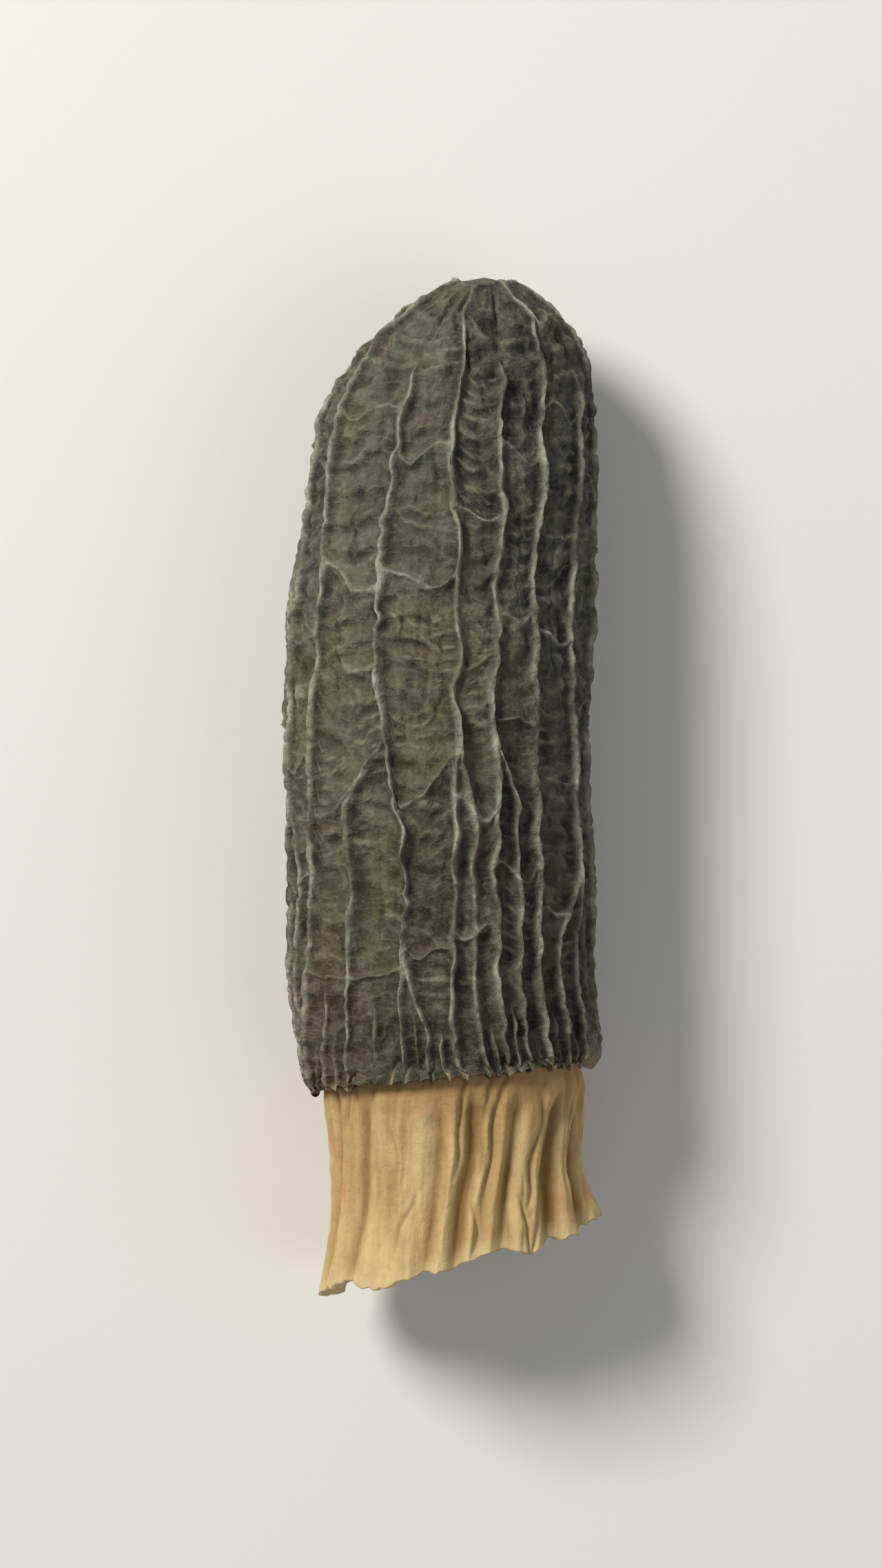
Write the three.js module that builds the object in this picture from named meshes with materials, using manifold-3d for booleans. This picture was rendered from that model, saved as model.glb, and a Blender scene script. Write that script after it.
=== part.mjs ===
// A dried morel mushroom lying on its side: a hollow cap covered by a raised net of ridges, on the short
// hollow stump of its stem. Millimetres, +Z up. The axis runs along Y, with the tip of the cap towards +Y
// and the cut end of the stem towards -Y. Angles run round the axis: 0 is +X, 90 degrees is the top.
import * as THREE from "three";
import { ParametricGeometry } from "three/addons/geometries/ParametricGeometry.js";
import { mergeVertices } from "three/addons/utils/BufferGeometryUtils.js";
import Module from "manifold-3d";

const wasm = await Module();
wasm.setup();

// Driving dimensions of the whole body. Outlines are [half-width, height above the cap's rim].
const capOutline = [
  [10.9, 0], [11.8, 1.5], [12.2, 6], [12.3, 14], [12.3, 26], [12.1, 36],
  [11.7, 44], [11, 50], [9.5, 54.5], [6.9, 57.8], [3.6, 60.2], [0, 61],
];
const stemOutline = [[9.4, 2.3], [9.9, -0.4], [9.7, -4], [9.6, -8], [9.9, -11], [10.4, -14]];
const capTop = capOutline.at(-1)[1];
const capFlatness = 0.84;
const stemFlatness = 0.79;
const flatnessChange = [-6, 6]; // heights between which the section changes from the stem's to the cap's
const undersideFullness = 0.6; // how far the pressed underside fills out towards the corners
// The axis wanders a little: [sideways, height above the floor] at heights above the rim.
const axisHeights = [-15, -2, 6, 14, 30, 44, 52, 61];
const axisSideways = [1, 0.8, 0, -0.2, -0.5, 0.5, 1.3, 3];
const axisAboveFloor = [8.7, 9.45, 9.8, 9.85, 9.8, 9.35, 9, 8.8];

// The net of ridges. Front ridges are angles in degrees at the ridge stations, rim first.
const ridgeStations = [0, 12, 24, 36, 48, 61];
const frontRidges = [
  [47, 51, 51, 52, 52, 50],
  [67, 69, 69, 68, 72, 74],
  [87, 85, 84, 84, 91, 95],
  [108, 103, 108, 114, 114, 115],
  [165, 151, 146, 145, 152, 150],
];
const backRidgeCount = 11;
const ridgeWander = 4; // degrees
const ridgeHalfWidth = 0.75;
const pitDepths = [[0, 1.1], [8, 1.75], [46, 1.75], [61, 0.5]]; // [height, depth], rim to tip
const pressedPitShare = 0.5; // what is left of the pits' depth on the pressed underside
const pressedBand = [0.6, 0.95]; // how far down the sides the pressed part begins, 1 being the very bottom
const ridgeEndBand = [51, 56]; // every other ridge fades out between these heights
const branchHeights = [10, 27]; // a branch leaves its ridge between these heights
const branchRun = 7; // and reaches the middle of the gap this much lower
const branchStrength = 0.9;
const skirtHeight = 8; // short ridges fill the wide gaps below this height
const skirtFadeShare = 0.6; // share of that height up to which they stand in full
const skirtStrength = 0.8;
const skirtShares = [0.25, 0.75];
const wideGap = 24; // degrees
// Cross ribs of the front gaps: [height in the middle of the gap, how much higher it is on the left].
const frontRibs = [
  [[46.3, 0.8], [35.5, -0.6], [27, 0.7], [16.5, 0.5]],
  [[42.4, 0.8], [31, -0.5], [20.5, 0.8], [12, 0]],
  [[46.3, 0], [37.3, 0.3], [22.2, -4], [10, 0.4]],
  [[50, 0.5], [38, 1.8], [22.5, -4.5], [9, -0.3]],
];
const ribHalfWidth = 1;
const ribStrength = [0.5, 0.9];
const ribWave = 0.7; // how far a rib leans up or down on its way across a gap
const ribSag = 0.9;
const firstRibRow = [4, 9]; // rows of the cap's surface, rim first
const ribRowSteps = [4, 8];

// Walls, the seat where the cap grows on the stem, and the cut end.
const capWall = 3.1; // from the ridges' crests to the hollow
const stemWall = 1.4;
const seatHeight = 2.6;
const rimInside = [10.3, 0.6];
const rimSlant = 1.1;
const rimSlantFade = 8;
const cutHeight = -13.1;
const cutSlant = 2.6;
const cutRaggedness = 0.35;

// Furrows of the stem: [angle in degrees, depth, half-width], the first six being those on the front.
const frontFurrows = [[36, 0.9, 1.7], [60, 0.65, 1.2], [70, 0.45, 1], [80, 0.85, 1.4], [94, 0.6, 1.2],
  [132, 0.6, 1.5]];
const backFurrowCount = 11;
const backFurrowShift = [-5, 5]; // degrees away from even spacing
const backFurrowDepth = [0.35, 0.8];
const backFurrowHalfWidth = [1.1, 1.6];
const furrowSlant = -0.8; // degrees for each millimetre
const furrowEndBand = [-2.5, 0.5]; // the furrows fade out between these heights, under the cap
const stemInsideFollow = 0.7; // share of a furrow that shows inside

const columnShares = [0, 0.12, 0.27, 0.5, 0.73, 0.88]; // columns of the cap's surface in each gap
const wideColumnShares = [0, 0.12, 0.25, 0.375, 0.5, 0.625, 0.75, 0.88];
const branchShareLimits = [0.4, 0.6];
const capRows = 44;
const capInsideRows = 8;
const stemColumns = 64;
const stemRows = 11;
const stemInsideRows = 7;
const seed = 20731;

const radians = THREE.MathUtils.degToRad;
const lerp = THREE.MathUtils.lerp;
const smoothstep = THREE.MathUtils.smoothstep;

// A repeatable draw between two numbers.
function makeDraw(seed) {
  let state = seed;
  return (low, high) => {
    state = (state * 16807) % 2147483647;
    return low + ((high - low) * state) / 2147483647;
  };
}

// The value at x of a smooth curve through (xs, ys).
function curveAt(xs, ys, x) {
  const last = xs.length - 1;
  if (x <= xs[0]) return ys[0];
  if (x >= xs[last]) return ys[last];
  const i = xs.findIndex((edge) => edge > x) - 1;
  const slope = (k) => {
    const before = Math.max(k - 1, 0);
    const after = Math.min(k + 1, last);
    return (ys[after] - ys[before]) / (xs[after] - xs[before]);
  };
  const span = xs[i + 1] - xs[i];
  const t = (x - xs[i]) / span;
  const rise = t * t * (3 - 2 * t);
  return (
    lerp(ys[i], ys[i + 1], rise) +
    span * t * (1 - t) * ((1 - t) * slope(i) - t * slope(i + 1))
  );
}

// Where the body's section at a height puts a point: half-width r and angle, moved out by relief along the
// outline's normal [outwards, upwards].
function placeOnBody(angle, r, height, relief, normal) {
  const [low, high] = flatnessChange;
  const flatness = lerp(stemFlatness, capFlatness, smoothstep(height, low, high));
  const c = Math.cos(angle);
  const s = Math.sin(angle);
  const fullness = s < 0 ? undersideFullness : 0;
  const upright = (s * (1 + fullness)) / (1 + fullness * Math.abs(s));
  const out = relief * normal[0];
  return new THREE.Vector3(
    curveAt(axisHeights, axisSideways, height) + c * (r + out),
    height + relief * normal[1],
    curveAt(axisHeights, axisAboveFloor, height) + upright * (r * flatness + out),
  );
}

// Rows along an outline, evenly by length: {r, height, normal}, the normal pointing out.
function outlineRows(outline, count) {
  const curve = new THREE.SplineCurve(outline.map(([r, height]) => new THREE.Vector2(r, height)));
  const rising = outline.at(-1)[1] > outline[0][1] ? 1 : -1;
  return Array.from({ length: count + 1 }, (_, i) => {
    const p = curve.getPointAt(i / count);
    const tangent = curve.getTangentAt(i / count);
    return { r: Math.max(p.x, 0), height: p.y, normal: [rising * tangent.y, -rising * tangent.x] };
  });
}

// The ridges round the cap, as angles at the ridge stations, in order from the right-hand side over the top.
function growRidges(draw) {
  const first = frontRidges[0];
  const last = frontRidges.at(-1);
  const back = Array.from({ length: backRidgeCount }, (_, i) => {
    const share = (i + 1) / (backRidgeCount + 1);
    return ridgeStations.map((_, k) => {
      const even = lerp(last[k], first[k] + 360, share);
      return even + draw(-ridgeWander, ridgeWander);
    });
  });
  return [...frontRidges, ...back];
}

// What fills each gap between a ridge and the next: a branch, short ridges at the rim, and cross ribs.
function fillGaps(ridges, draw) {
  return ridges.map((ridge, i) => {
    const next = ridges[(i + 1) % ridges.length];
    const turn = i === ridges.length - 1 ? 360 : 0;
    const branch = { fromNext: draw(0, 1) < 0.5, top: draw(...branchHeights) };
    const isWide = next[0] + turn - ridge[0] > wideGap;
    const ribs = placeRibs(i, draw).map(([row, rise]) => ({
      height: row.height,
      rise,
      wave: draw(-ribWave, ribWave),
      sag: draw(0, ribSag),
      strength: draw(...ribStrength),
    }));
    return { left: ridge, right: next, turn, branch, isWide, ribs, fades: i % 2 === 1 };
  });
}

// The rows of the cap's surface where a gap has its ribs, lowest first, with each rib's rise.
function placeRibs(gapIndex, draw) {
  if (gapIndex < frontRibs.length) {
    return frontRibs[gapIndex].toReversed().map(([height, rise]) => {
      const distance = (row) => Math.abs(row.height - height);
      return [skinRows.reduce((a, b) => (distance(b) < distance(a) ? b : a)), rise];
    });
  }
  const placed = [];
  let row = Math.round(draw(...firstRibRow));
  while (row < capRows - 2) {
    placed.push([skinRows[row], 0]);
    row += Math.round(draw(...ribRowSteps));
  }
  return placed;
}

const skinRows = outlineRows(capOutline, capRows);
const draw = makeDraw(seed);
const gaps = fillGaps(growRidges(draw), draw);
const capColumns = gaps.flatMap((gap, i) => {
  const next = gaps[(i + 1) % gaps.length];
  return (gap.isWide ? wideColumnShares : columnShares).map((share) => ({ gap, next, share }));
});

// The share of the gap at which its branch runs at a height.
function branchShare(gap, height) {
  const away = smoothstep(gap.branch.top - height, 0, branchRun) * 0.5;
  return gap.branch.fromNext ? 1 - away : away;
}

// The share of full height that a ridge has at a distance from its crest.
function crest(distance, halfWidth) {
  return Math.max(0, 1 - distance / halfWidth);
}

// How far a rib lies above its own height at a share of the gap.
function ribOffset(rib, share) {
  return (
    rib.rise * (share - 0.5) + rib.wave * Math.sin(2 * Math.PI * share) - rib.sag * Math.sin(Math.PI * share)
  );
}

// How far the rows of a gap lean at a height, so that a row runs along each rib's crest.
function rowOffset(gap, share, height) {
  const heights = [0, ...gap.ribs.map((rib) => rib.height), capTop];
  const offsets = [0, ...gap.ribs.map((rib) => ribOffset(rib, share)), 0];
  return curveAt(heights, offsets, height);
}

// How high the net stands in a gap, from 0 in the pits to 1 on the ridges.
function netHeight(gap, next, share, height, gapWidth) {
  const ending = 1 - smoothstep(height, ...ridgeEndBand);
  const leftEnd = gap.fades ? ending : 1;
  const rightEnd = next.fades ? ending : 1;
  const marks = [
    leftEnd * crest(share * gapWidth, ridgeHalfWidth),
    rightEnd * crest((1 - share) * gapWidth, ridgeHalfWidth),
  ];
  if (height < gap.branch.top) {
    const away = Math.abs(share - branchShare(gap, height)) * gapWidth;
    marks.push(branchStrength * crest(away, ridgeHalfWidth));
  }
  if (gap.isWide) {
    const strength = skirtStrength * (1 - smoothstep(height, skirtFadeShare * skirtHeight, skirtHeight));
    skirtShares.forEach((at) => {
      marks.push(strength * crest(Math.abs(share - at) * gapWidth, ridgeHalfWidth));
    });
  }
  gap.ribs.forEach((rib) => {
    marks.push(rib.strength * crest(Math.abs(height - rib.height - ribOffset(rib, share)), ribHalfWidth));
  });
  return Math.max(...marks);
}

function depthOfPits(angle, height) {
  const heights = pitDepths.map(([at]) => at);
  const depths = pitDepths.map(([, depth]) => depth);
  const pressed = smoothstep(-Math.sin(angle), ...pressedBand);
  return curveAt(heights, depths, height) * lerp(1, pressedPitShare, pressed);
}

// The share of its gap at which a column runs: the middle one follows the branch.
function columnShare(column, height) {
  const { gap, share } = column;
  if (share !== 0.5 || height > gap.branch.top) return share;
  return THREE.MathUtils.clamp(branchShare(gap, height), ...branchShareLimits);
}

function capPoint(column, row) {
  const { gap, next } = column;
  const rowHeight = THREE.MathUtils.clamp(row.height, 0, capTop);
  const share = columnShare(column, rowHeight);
  const lean = row.isNet ? rowOffset(gap, share, rowHeight) : 0;
  const height = rowHeight + lean;
  const left = curveAt(ridgeStations, gap.left, height);
  const right = curveAt(ridgeStations, gap.right, height) + gap.turn;
  const angle = radians(lerp(left, right, share));
  const gapWidth = radians(right - left) * row.r;
  const relief = row.isNet && row.r > 0
    ? -depthOfPits(angle, height) * (1 - netHeight(gap, next, share, height, gapWidth))
    : 0;
  const point = placeOnBody(angle, row.r, row.height + lean, relief, row.normal);
  if (row.isRim) point.y += rimSlant * Math.cos(angle) * (1 - smoothstep(height, 0, rimSlantFade));
  return point;
}

// One closed surface from rows of points round the body, the last row and column meeting the first.
function closedSurface(columns, rows, pointAt) {
  const geometry = new ParametricGeometry(
    (u, v, target) => {
      const column = columns[Math.round(u * columns.length) % columns.length];
      const row = rows[Math.round(v * rows.length) % rows.length];
      target.copy(pointAt(column, row));
    },
    columns.length,
    rows.length,
  );
  geometry.deleteAttribute("normal");
  geometry.deleteAttribute("uv");
  const merged = mergeVertices(geometry, 1e-4);
  const kept = [];
  for (let i = 0; i < merged.index.count; i += 3) {
    const [a, b, c] = merged.index.array.slice(i, i + 3);
    if (a !== b && b !== c && c !== a) kept.push(a, b, c);
  }
  merged.setIndex(kept);
  return merged;
}

function solidOf(geometry) {
  return new wasm.Manifold(
    new wasm.Mesh({
      numProp: 3,
      vertProperties: new Float32Array(geometry.attributes.position.array),
      triVerts: new Uint32Array(geometry.index.array),
    }),
  );
}

function geometryOf(solid) {
  const mesh = solid.getMesh();
  const geometry = new THREE.BufferGeometry();
  geometry.setAttribute("position", new THREE.BufferAttribute(mesh.vertProperties, 3));
  geometry.setIndex(new THREE.BufferAttribute(mesh.triVerts, 1));
  geometry.computeVertexNormals();
  return geometry;
}

function makeCap() {
  const skin = skinRows.map((row) => ({ ...row, isNet: true, isRim: true }));
  const inside = capOutline
    .filter(([r, height]) => height > seatHeight && r > 2 * capWall)
    .map(([r, height]) => [r - capWall, height]);
  const insideTop = capTop - capWall;
  const insideRows = outlineRows(
    [[stemOutline[0][0] - stemWall, seatHeight], ...inside, [0, insideTop]],
    capInsideRows,
  ).reverse();
  const seat = [
    { r: stemOutline[0][0], height: seatHeight, normal: [1, 0] },
    { r: rimInside[0], height: rimInside[1], normal: [1, 0], isRim: true },
  ];
  const rows = [...seat, ...skin, ...insideRows].reverse();
  return closedSurface(capColumns, rows, capPoint);
}

// The stem's furrows, the front ones as given and the back ones drawn.
function growFurrows() {
  const spread = 360 + frontFurrows[0][0] - frontFurrows.at(-1)[0];
  const back = Array.from({ length: backFurrowCount }, (_, i) => {
    const even = frontFurrows.at(-1)[0] + (spread * (i + 1)) / (backFurrowCount + 1);
    return [even + draw(...backFurrowShift), draw(...backFurrowDepth), draw(...backFurrowHalfWidth)];
  });
  return [...frontFurrows, ...back];
}

const furrows = growFurrows();

function furrowDepth(angle, height, r) {
  const fade = 1 - smoothstep(height, ...furrowEndBand);
  const deepest = furrows.reduce((most, [at, depth, halfWidth]) => {
    const centre = radians(at + furrowSlant * height);
    const turn = Math.atan2(Math.sin(angle - centre), Math.cos(angle - centre));
    return Math.max(most, depth * (1 - smoothstep(Math.abs(turn) * r, 0, halfWidth)));
  }, 0);
  return fade * deepest;
}

function cutEnd(angle) {
  const ragged = Math.sin(5 * angle + 1) + 0.6 * Math.sin(11 * angle);
  return cutHeight + cutSlant * Math.cos(angle) + cutRaggedness * ragged;
}

function makeStem() {
  const end = stemOutline.at(-1)[1];
  const top = stemOutline[0][1];
  const outer = outlineRows(stemOutline, stemRows);
  const inner = outlineRows(stemOutline, stemInsideRows).reverse();
  const rows = [
    ...outer.map((row) => ({ ...row, inset: 0, follow: 1 })),
    ...inner.map((row) => ({ ...row, inset: stemWall, follow: stemInsideFollow })),
  ];
  const angles = Array.from({ length: stemColumns }, (_, i) => (2 * Math.PI * i) / stemColumns);
  return closedSurface(angles, rows, (angle, row) => {
    const height = top + ((row.height - top) * (cutEnd(angle) - top)) / (end - top);
    const relief = -row.inset - row.follow * furrowDepth(angle, height, row.r);
    return placeOnBody(angle, row.r, height, relief, [1, 0]);
  });
}

// The floor flattens the lowest crests, so the piece lies still.
function pressedOnFloor(geometry) {
  const depth = 20;
  const floor = new THREE.BoxGeometry(200, 200, depth);
  floor.translate(0, 0, -depth / 2);
  floor.deleteAttribute("normal");
  floor.deleteAttribute("uv");
  const solids = solidOf(geometry).subtract(solidOf(mergeVertices(floor))).decompose();
  return geometryOf(solids.reduce((a, b) => (a.volume() > b.volume() ? a : b)));
}

const cap = new THREE.Mesh(
  pressedOnFloor(makeCap()),
  new THREE.MeshStandardMaterial({ color: 0x504c3f, roughness: 0.85, metalness: 0 }),
);
cap.name = "cap";

const stem = new THREE.Mesh(
  pressedOnFloor(makeStem()),
  new THREE.MeshStandardMaterial({ color: 0xc6a671, roughness: 0.8, metalness: 0 }),
);
stem.name = "stem";

// The origin is on the floor, under the middle of the footprint.
const morel = new THREE.Group();
morel.add(cap, stem);
const middle = new THREE.Box3().setFromObject(morel).getCenter(new THREE.Vector3());
morel.position.set(-middle.x, -middle.y, 0);

export default morel;
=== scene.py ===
# A dried morel mushroom lying on its side, seen from straight above.
# The piece is shaped in millimetres, with heights counted from the cap's rim towards its tip,
# and angles round the axis: 0 is to the right, 90 degrees is the top.
import math

import bpy
import numpy as np
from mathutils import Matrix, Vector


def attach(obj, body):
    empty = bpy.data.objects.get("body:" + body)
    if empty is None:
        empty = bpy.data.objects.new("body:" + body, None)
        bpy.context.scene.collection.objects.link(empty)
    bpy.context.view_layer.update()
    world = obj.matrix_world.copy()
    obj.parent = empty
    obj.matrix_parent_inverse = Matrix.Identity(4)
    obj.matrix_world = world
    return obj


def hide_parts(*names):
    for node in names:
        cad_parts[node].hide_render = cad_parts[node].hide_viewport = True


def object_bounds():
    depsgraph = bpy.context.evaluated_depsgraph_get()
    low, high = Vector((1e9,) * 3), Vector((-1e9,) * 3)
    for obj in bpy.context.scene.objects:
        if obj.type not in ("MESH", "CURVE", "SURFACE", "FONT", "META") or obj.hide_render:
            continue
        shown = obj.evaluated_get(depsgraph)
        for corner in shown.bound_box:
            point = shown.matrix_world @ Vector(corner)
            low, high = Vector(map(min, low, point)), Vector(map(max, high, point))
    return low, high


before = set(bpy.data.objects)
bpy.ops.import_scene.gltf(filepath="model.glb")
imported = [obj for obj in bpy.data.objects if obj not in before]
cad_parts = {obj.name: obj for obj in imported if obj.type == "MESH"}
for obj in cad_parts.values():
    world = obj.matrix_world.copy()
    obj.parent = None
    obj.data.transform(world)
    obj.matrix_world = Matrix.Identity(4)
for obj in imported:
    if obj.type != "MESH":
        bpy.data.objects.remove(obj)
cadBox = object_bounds()
print("frame loaded, box", [tuple(round(v, 5) for v in corner) for corner in cadBox])

mm = 0.001


# Shapes shared by the cap and the stem

body = {
    "flatness": (0.79, 0.84),  # of the section, stem then cap
    "flatnessChange": (-6, 6),  # heights between which it changes
    "undersideFullness": 0.6,  # how much boxier the lower half of the section is
    "axisHeights": [-15, -2, 6, 14, 30, 44, 52, 61],
    "axisSideways": [1, 0.8, 0, -0.2, -0.5, 0.5, 1.3, 3],
    "axisAboveFloor": [8.7, 9.45, 9.8, 9.85, 9.8, 9.35, 9, 8.8],
    "tip": 61,
    "lowest": 0.02,  # height above the floor
    "outlineSteps": 4000,  # of the fine curve that rows are spaced along
}


def makeDraw(seed):  # a repeatable draw between two numbers
    factor, size = 16807, 2147483647
    state = [seed]

    def draw(low, high):
        state[0] = (state[0] * factor) % size
        return low + ((high - low) * state[0]) / size

    return draw


def blend(a, b, share):
    return a + (b - a) * share


def nearest(values, value):
    return values[np.abs(values - value).argmin()]


def smoothStep(x, low, high):
    t = np.clip((np.asarray(x, float) - low) / (high - low), 0, 1)
    return t * t * (3 - 2 * t)


def curveAt(xs, ys, x):  # a smooth curve through (xs, ys), read at x
    xs, ys = np.asarray(xs, float), np.asarray(ys, float)
    x = np.clip(np.asarray(x, float), xs[0], xs[-1])
    last = len(xs) - 1
    before, after = np.maximum(np.arange(last + 1) - 1, 0), np.minimum(np.arange(last + 1) + 1, last)
    slope = (ys[after] - ys[before]) / (xs[after] - xs[before])
    i = np.clip(np.searchsorted(xs, x, side="right") - 1, 0, last - 1)
    span = xs[i + 1] - xs[i]
    t = (x - xs[i]) / span
    bend = span * t * (1 - t) * ((1 - t) * slope[i] - t * slope[i + 1])
    return blend(ys[i], ys[i + 1], t * t * (3 - 2 * t)) + bend


def smoothNoise(around, along, cells, length, seed):  # -1 to 1; around is in turns and closes on itself
    rows, firstRow = 256, 96
    table = np.random.default_rng(seed).uniform(-1, 1, (cells, rows))
    a = np.asarray(around, float) * cells
    b = np.asarray(along, float) / length + firstRow
    i, j = np.floor(a).astype(int), np.floor(b).astype(int)
    u, v = a - i, b - j
    u, v = u * u * (3 - 2 * u), v * v * (3 - 2 * v)
    i0, i1, j0, j1 = i % cells, (i + 1) % cells, j % rows, (j + 1) % rows
    low = blend(table[i0, j0], table[i1, j0], u)
    high = blend(table[i0, j1], table[i1, j1], u)
    return blend(low, high, v)


def pattern(piece, name, turns, height, seed=0):  # one of a piece's patterns, about nought
    return sum(strength * smoothNoise(turns, height, cells, length, ownSeed + seed)
               for strength, cells, length, ownSeed in piece["patterns"][name])


def patches(piece, name, turns, height, seed=0):  # where a feature shows: 1 fully, less in part
    cover, least, strength, cells, length, ownSeed = piece["patches"][name]
    noise = smoothNoise(turns, height, cells, length, ownSeed + seed)
    return np.clip(cover + strength * noise, least, 1)


def placeOnBody(angle, r, height, out, rise):  # out and rise are added off the outline
    flatness = blend(*body["flatness"], smoothStep(height, *body["flatnessChange"]))
    c, s = np.cos(angle), np.sin(angle)
    full = np.where(s < 0, body["undersideFullness"], 0)
    upright = s * (1 + full) / (1 + full * np.abs(s))
    x = curveAt(body["axisHeights"], body["axisSideways"], height) + c * (r + out)
    z = curveAt(body["axisHeights"], body["axisAboveFloor"], height) + upright * (r * flatness + out)
    return np.stack(np.broadcast_arrays(x, height + rise, z), axis=-1)


def outlineRows(outline, count):  # rows evenly spaced along an outline: half-width, height, normal
    points = np.asarray(outline, float)
    steps = np.concatenate([[0], np.cumsum(np.linalg.norm(np.diff(points, axis=0), axis=1))])
    fine = np.linspace(0, steps[-1], body["outlineSteps"])
    r, height = curveAt(steps, points[:, 0], fine), curveAt(steps, points[:, 1], fine)
    length = np.concatenate([[0], np.cumsum(np.hypot(np.diff(r), np.diff(height)))])
    at = np.linspace(0, length[-1], count)
    tangent = np.stack([np.interp(at, length, np.gradient(r, length)),
                        np.interp(at, length, np.gradient(height, length))])
    tangent /= np.linalg.norm(tangent, axis=0)
    r, height = np.maximum(np.interp(at, length, r), 0), np.interp(at, length, height)
    return r, height, tangent[1], -tangent[0]


def frameShift():  # where the frame has this model's axis: its tip is the cap's furthest point
    places = np.array([v.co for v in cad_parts["cap"].data.vertices])
    tip = places[places[:, 1].argmax()] / mm
    return np.array([tip[0] - body["axisSideways"][-1], tip[1] - body["tip"], 0])


shift = frameShift()


def makePiece(name, points, faces, marks):  # marks are numbers kept at each vertex for the materials
    points = points + shift
    points[:, 2] = np.maximum(points[:, 2], body["lowest"])  # crests pressed flat on the floor
    mesh = bpy.data.meshes.new(name)
    mesh.from_pydata((points * mm).tolist(), [], faces)
    for markName, values in marks.items():
        mark = mesh.attributes.new(markName, "FLOAT", "POINT")
        mark.data.foreach_set("value", np.ascontiguousarray(values, dtype=np.float32).ravel())
    mesh.polygons.foreach_set("use_smooth", [True] * len(mesh.polygons))
    mesh.update()
    piece = bpy.data.objects.new(name, mesh)
    bpy.context.collection.objects.link(piece)
    print(name, "has", len(mesh.vertices), "vertices and", sum(len(f) - 2 for f in faces), "triangles")
    return piece


def sheetFaces(rows, columns, first=0):  # quads of a sheet whose last column meets the first
    faces = []
    for row in range(rows - 1):
        a = first + row * columns
        b = a + columns
        for k in range(columns):
            n = (k + 1) % columns
            faces.append((a + k, a + n, b + n, b + k))
    return faces


# The net of ridges

net = {
    "stations": [0, 12, 24, 36, 48, 61],  # heights at which a ridge's angle is given
    "front": [  # angles of the five front ridges at the stations, right to left
        [47, 51, 51, 52, 52, 50],
        [67, 69, 69, 68, 72, 74],
        [87, 85, 84, 84, 91, 95],
        [108, 103, 108, 114, 114, 115],
        [165, 151, 146, 145, 152, 150],
    ],
    "frontRibs": [  # height in the middle of each front gap, and how much higher the left end is
        [(16.5, 0.5), (27, 0.7), (35.5, -0.6), (46.3, 0.8)],
        [(12, 0), (20.5, 0.8), (31, -0.5), (42.4, 0.8)],
        [(10, 0.4), (22.2, -4), (37.3, 0.3), (46.3, 0)],
        [(9, -0.3), (22.5, -4.5), (38, 1.8), (50, 0.5)],
    ],
    "seed": 20731,
    "backCount": 11,
    "backWander": 4,
    "endBand": (51, 56),  # heights between which every other ridge dies out
    "branchTop": (10, 27),
    "branchRun": 7,
    "wideGap": 24,
    "wideSkirt": [(0.125, 4.5), (0.25, 8), (0.375, 5.5), (0.625, 6.5), (0.75, 10), (0.875, 5)],
    "skirt": [(0.25, 5.5), (0.75, 7.5)],  # where short ridges stand in the other gaps, and their height
    "skirtTop": 9,  # above it feet and wrinkles have their full size
    "ribStrength": (0.5, 0.9),
    "ribWave": 0.7,
    "ribSag": 0.9,
    "firstRibRow": (4, 9),
    "ribRowSteps": (4, 8),
    "coarseRows": 44,
    "pitDepth": ([0, 8, 46, 57, 61], [1.25, 1.8, 1.75, 1.4, 0.8]),
    "pressedShare": 0.5,  # how deep pits still are underneath
    "pressedBand": (0.6, 0.95),  # how far underneath, from 0 at the sides to 1
    "darkPits": {0: (0, 1, 4), 1: (0, 1, 4), 2: (1,), 3: (0,)},  # counted from the rim, in each front gap
}


def growRidges(draw):
    first, last = net["front"][0], net["front"][-1]
    ridges = [list(ridge) for ridge in net["front"]]
    for i in range(net["backCount"]):
        share = (i + 1) / (net["backCount"] + 1)
        ridges.append([
            blend(last[k], first[k] + 360, share) + draw(-net["backWander"], net["backWander"])
            for k in range(len(net["stations"]))
        ])
    return ridges


def placeRibs(i, heights, draw):
    if i < len(net["frontRibs"]):
        return [(nearest(heights, height), rise) for height, rise in net["frontRibs"][i]]
    placed = []
    row = round(draw(*net["firstRibRow"]))
    while row < net["coarseRows"] - 2:
        placed.append((heights[row], 0))
        row += round(draw(*net["ribRowSteps"]))
    return placed


def growNet(draw):
    ridges = growRidges(draw)
    heights = outlineRows(cap["outline"], net["coarseRows"] + 1)[1]
    gaps = []
    for i, ridge in enumerate(ridges):
        turn = 360 if i == len(ridges) - 1 else 0
        following = [angle + turn for angle in ridges[(i + 1) % len(ridges)]]
        gap = {"left": ridge, "right": following}
        gap["fromNext"], gap["top"] = draw(0, 1) < 0.5, draw(*net["branchTop"])
        gap["ribs"] = [
            (height, rise, draw(-net["ribWave"], net["ribWave"]), draw(0, net["ribSag"]),
             draw(*net["ribStrength"]))
            for height, rise in placeRibs(i, heights, draw)
        ]
        gap["skirt"] = net["wideSkirt"] if following[0] - ridge[0] > net["wideGap"] else net["skirt"]
        gap["dark"] = net["darkPits"].get(i)
        gap["fades"] = i % 2 == 1
        gaps.append(gap)
    return gaps


def bump(distance, width, power):
    return np.exp(-(np.abs(distance) / width) ** power)


def joined(marks):  # crests that run into each other without a step
    flat = 1
    for mark in marks:
        flat = flat * (1 - np.clip(mark, 0, 1))
    return 1 - flat


# The cap

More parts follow.
